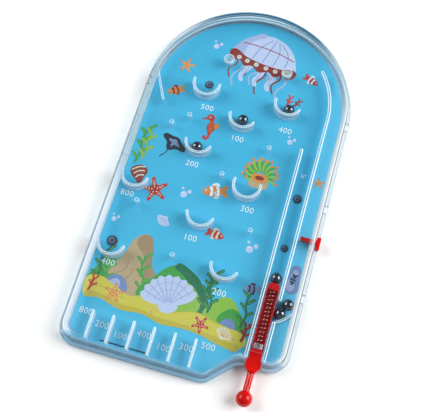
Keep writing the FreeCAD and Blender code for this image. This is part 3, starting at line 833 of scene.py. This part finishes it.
def add_peg(mesh, spot, size, bore=0.0, ceiling=1.5, edge_round=0.4):
    """Adds a round peg, hollow from below when it has a bore."""
    tall = WALL_HEAD - WALL_FOOT
    peg = bmesh.new()
    bmesh.ops.create_cone(peg, cap_ends=True, segments=32, radius1=size / 2000, radius2=size / 2000,
                          depth=tall / 1000, matrix=Matrix.Translation(at(*spot, WALL_FOOT + tall / 2)))
    if bore:
        foot = [f for f in peg.faces if f.normal.z < -0.9]
        bmesh.ops.inset_region(peg, faces=foot, thickness=(size - bore) / 2000, use_even_offset=True)
        grown = bmesh.ops.extrude_face_region(peg, geom=foot)["geom"]
        bmesh.ops.delete(peg, geom=foot, context="FACES_ONLY")
        bmesh.ops.translate(peg, verts=of_kind(grown, bmesh.types.BMVert),
                            vec=(0, 0, (tall - ceiling) / 1000))
    rims = [e for e in peg.edges if len(e.link_faces) == 2 and e.calc_face_angle(0) > 1
            and len({round(v.co.z, 7) for v in e.verts}) == 1]
    bmesh.ops.bevel(peg, geom=rims, offset=edge_round / 1000, offset_type="OFFSET", segments=2, profile=0.5,
                    affect="EDGES", material=-1, clamp_overlap=True)
    pour(peg, mesh)


pins = bmesh.new()
for spot in PINS:
    add_peg(pins, spot, PIN_D)
settle(pins, "guide_pins_clear", peg_clear, "rib_plastic", "guide_pins")
posts = bmesh.new()
for spot in POSTS:
    add_peg(posts, spot, POST_D, bore=POST_BORE)
settle(posts, "cover_posts_clear", peg_clear, "rib_plastic", "cover_posts")


# ---- spring stop -------------------------------------------------------------------------------
# A small clear block that hangs from the cover into the plunger's slot and holds the spring's lower
# end. Fine streaks of pinkish-white highlight are painted along it.

STOP_FOOT, STOP_T, STOP_W, STOP_LOW = 30.3, 3.5, 6.0, 3.6

stop_clear, graph = new_finish("stop_clear")
place = graph.node("TexCoord", output="Object")
stretched = graph.node("Mapping", {"Vector": place, "Scale": (1100.0, 120.0, 120.0)})
# painted highlight: pinkish-white streaks along the block
painted_streak = graph.node("TexNoise", {"Vector": stretched, "Scale": 1.0, "Detail": 1.0})
edge = 1 - abs(graph.node("NewGeometry", output="Normal").axes()[2]).smooth(0.9, 0.97)
show(graph.node("MixShader", {
    0: 0.12 + 0.5 * painted_streak.smooth(0.5, 0.62) + 0.12 * edge,
    1: graph.node("BsdfTransparent", {"Color": colour(246, 252, 255)}),
    2: graph.node("BsdfPrincipled", {"Base Color": painted_streak.mix(colour(255, 236, 240), colour(250, 252, 255)),
                                 "Roughness": 0.15 + 0.1 * painted_streak})}))
stop = bmesh.new()
add_wall(stop, (LANE_X, STOP_FOOT), 90, [STOP_T], STOP_W, round_start=False, round_end=False, low=STOP_LOW)
settle(stop, "spring_stop_clear", stop_clear, "rib_plastic", "spring_stop")


# ---- plunger and gate --------------------------------------------------------------------------
# Both are moulded in glossy red plastic. The plunger is one piece from its tip to the ball knob. The
# floor of its spring slot is thin; it is painted a brighter red, as painted light in the shaded slot. The
# gate is a flat arm with a finger pull, and slides through the right-hand wall.

SLOT_W, SLOT_FOOT, SLOT_HEAD, SLOT_FLOOR = 6.8, 30.0, 71.5, 3.3

red_gloss, graph = new_finish("red_gloss")
place = graph.node("TexCoord", output="Object")
across, along, height = place.axes()
low_end, high_end = at(0, SLOT_FOOT - 0.1), at(0, SLOT_HEAD + 0.1)
# painted light: the slot's floor is painted a brighter red than the rest of the plastic
in_slot = ((abs(across - LANE_X / 1000) < (SLOT_W + 0.02) / 2000) * (height < (SLOT_FLOOR + 0.3) / 1000)
           * (along > low_end.y) * (along < high_end.y))
swirl = graph.node("TexNoise", {"Vector": place, "Scale": 70.0, "Detail": 3.0})
skin = graph.node("TexNoise", {"Vector": place, "Scale": 500.0, "Detail": 2.0})
red = swirl.smooth(0.3, 0.7).mix(colour(196, 10, 8), colour(214, 18, 12))
show(graph.node("BsdfPrincipled", {
    "Base Color": in_slot.mix(red, colour(240, 14, 20)),
    "Roughness": 0.1 + 0.08 * skin,
    "Specular IOR Level": 0.3,
    "Subsurface Weight": 0.25,
    "Subsurface Radius": (1.0, 0.06, 0.04),
    "Subsurface Scale": 0.002,
    "Normal": graph.node("Bump", {"Strength": 0.03, "Distance": 0.0002, "Height": skin})}))
dress(nodes["plunger"], red_gloss)
dress(nodes["ball_gate"], red_gloss)


# ---- plunger spring ----------------------------------------------------------------------------
# An open coil of steel wire in the plunger's slot. It presses on the clear stop at its lower end and
# on the back of the plunger's tip; the real coil is squeezed as the knob is pulled, but here it is built at
# its rest length.

SPRING_FOOT, SPRING_HEAD = STOP_FOOT + STOP_T, SLOT_HEAD
SPRING_AXIS = 6.4
WIRE, COIL_R, TURNS = 0.85, 2.45, 13
TURN_STEPS, WIRE_SIDES = 24, 12
SPRING_GAP, TRAVEL = 0.1, 28.0

# painted reflection: the steel is tinted pink-red, standing in for the red plastic round it, so its glints
# are pinkish too
coil_steel, graph = new_finish("coil_steel")
place = graph.node("TexCoord", output="Object")
draw = graph.node("TexNoise", {"Vector": place, "Scale": 400.0, "Detail": 2.0})
show(graph.node("BsdfPrincipled", {
    "Base Color": draw.mix(colour(228, 132, 124), colour(240, 152, 144)),
    "Metallic": 1.0,
    "Roughness": 0.14 + 0.08 * draw}))
coil = bmesh.new()
pitch = (SPRING_HEAD - SPRING_FOOT - WIRE - 2 * SPRING_GAP) / TURNS
wire_start = at(LANE_X + COIL_R, SPRING_FOOT + WIRE / 2 + SPRING_GAP, SPRING_AXIS)
bmesh.ops.create_circle(coil, segments=WIRE_SIDES, radius=WIRE / 2000,
                        matrix=Matrix.Translation(wire_start))
bmesh.ops.spin(coil, geom=coil.edges[:] + coil.verts[:], cent=at(LANE_X, SPRING_FOOT, SPRING_AXIS),
               axis=(0, 1, 0), dvec=(0, pitch / TURN_STEPS / 1000, 0), angle=2 * math.pi * TURNS,
               steps=TURN_STEPS * TURNS, use_duplicate=False)
bmesh.ops.holes_fill(coil, edges=[e for e in coil.edges if e.is_boundary], sides=WIRE_SIDES)
bmesh.ops.recalc_face_normals(coil, faces=coil.faces)
spring = settle(coil, "plunger_spring_coil", coil_steel, "spring_steel", "plunger_spring")
at(LANE_X, SPRING_FOOT, SPRING_AXIS)
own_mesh(spring)


# ---- balls -------------------------------------------------------------------------------------
# Polished bearing balls, 8 mm across: three lie in cups, one on the plunger's tip and two wait on
# the feed ramp.

# painted reflection: the steel is set darker than bare steel, standing in for the dark room round it that
# it reflects
ball_steel, graph = new_finish("ball_steel")
place = graph.node("TexCoord", output="Object")
lap = graph.node("TexNoise", {"Vector": place, "Scale": 260.0, "Detail": 3.0})
show(graph.node("BsdfPrincipled", {
    "Base Color": lap.mix(colour(94, 96, 102), colour(116, 118, 124)),
    "Metallic": 1.0,
    "Roughness": 0.05 + 0.06 * lap}))
for index in range(1, 7):
    dress(nodes[f"ball_{index}"], ball_steel)


# ---- cover -------------------------------------------------------------------------------------
# The clear lid: a flat plate with a rounded edge and a wall that stands inside the tray's rim, held
# by three snap hooks on each side. It is open above the plunger and slotted for the gate.

cover_clear = case_plastic("cover_clear")
dress(nodes["cover"], cover_clear)


# ---- floor, light and camera -------------------------------------------------------------------
# A pale studio floor that is seen as plain white far from the case, a soft lamp on the right, a weaker
# one on the left, and an even, dim surround that is itself seen as white.

FLOOR_HALF = 4.0

floor_mesh = bmesh.new()
bmesh.ops.create_grid(floor_mesh, x_segments=1, y_segments=1, size=FLOOR_HALF)
floor_sheet = bpy.data.meshes.new("floor")
floor_mesh.to_mesh(floor_sheet)
floor_mesh.free()
floor = bpy.data.objects.new("floor", floor_sheet)
bpy.context.collection.objects.link(floor)
floor_pale, graph = new_finish("floor_pale")
x, y = graph.node("TexCoord", output="Object").axes()[:2]
away = ((x ** 2.0 + y ** 2.0) ** 0.5).smooth(0.35, 0.9)
show(graph.node("MixShader", {
    0: away * graph.node("LightPath", output="Is Camera Ray"),
    1: graph.node("BsdfPrincipled", {"Base Color": (0.97, 0.965, 0.96, 1), "Roughness": 0.9,
                                 "Specular IOR Level": 0.0}),
    2: graph.node("Emission", {"Color": (1, 1, 1, 1), "Strength": 1.0})}))
floor_sheet.materials.append(floor_pale)

world = bpy.data.worlds.new("surround")
bpy.context.scene.world = world
world.use_nodes = True
world.node_tree.nodes.clear()
graph = Signal(world.node_tree)
graph.node("OutputWorld", {"Surface": graph.node("MixShader", {
    0: graph.node("LightPath", output="Is Camera Ray"),
    1: graph.node("Background", {"Color": (0.17, 0.175, 0.18, 1), "Strength": 1.0}),
    2: graph.node("Background", {"Color": (1, 1, 1, 1), "Strength": 1.0})})})


def lamp(name, direction, distance, size, power):
    light = bpy.data.lights.new(name, "AREA")
    light.shape, light.size, light.energy = "DISK", size, power
    piece = bpy.data.objects.new(name, light)
    bpy.context.collection.objects.link(piece)
    piece.location = Vector(direction).normalized() * distance
    piece.rotation_euler = piece.location.to_track_quat("Z", "Y").to_euler()


lamp("key", (0.80, 0.22, 0.57), 1.6, 1.4, 33.0)
lamp("fill", (-0.76, 0.10, 0.60), 1.6, 1.2, 19.0)

AZIMUTH, ELEVATION, ROLL = (math.radians(a) for a in (19.13, 69.28, -3.24))
AIM, DISTANCE = at(-1.59, 121.89), 0.55179
FOCAL_PIXELS, FRAME_PIXELS, SENSOR = 773.88, 426, 36.0

back = Vector((math.sin(AZIMUTH) * math.cos(ELEVATION), -math.cos(AZIMUTH) * math.cos(ELEVATION),
               math.sin(ELEVATION)))
right = Vector((0, 0, 1)).cross(back).normalized()
up = back.cross(right)
across = right * math.cos(ROLL) + up * math.sin(ROLL)
upward = up * math.cos(ROLL) - right * math.sin(ROLL)
eye = bpy.data.cameras.new("camera")
eye.sensor_width = SENSOR
eye.lens = FOCAL_PIXELS / FRAME_PIXELS * SENSOR
eye.clip_start = 0.01
camera = bpy.data.objects.new("camera", eye)
bpy.context.collection.objects.link(camera)
camera.matrix_world = (Matrix.Translation(AIM + back * DISTANCE)
                       @ Matrix((across, upward, back)).transposed().to_4x4())
bpy.context.scene.camera = camera
bpy.context.scene.view_settings.view_transform = "Standard"
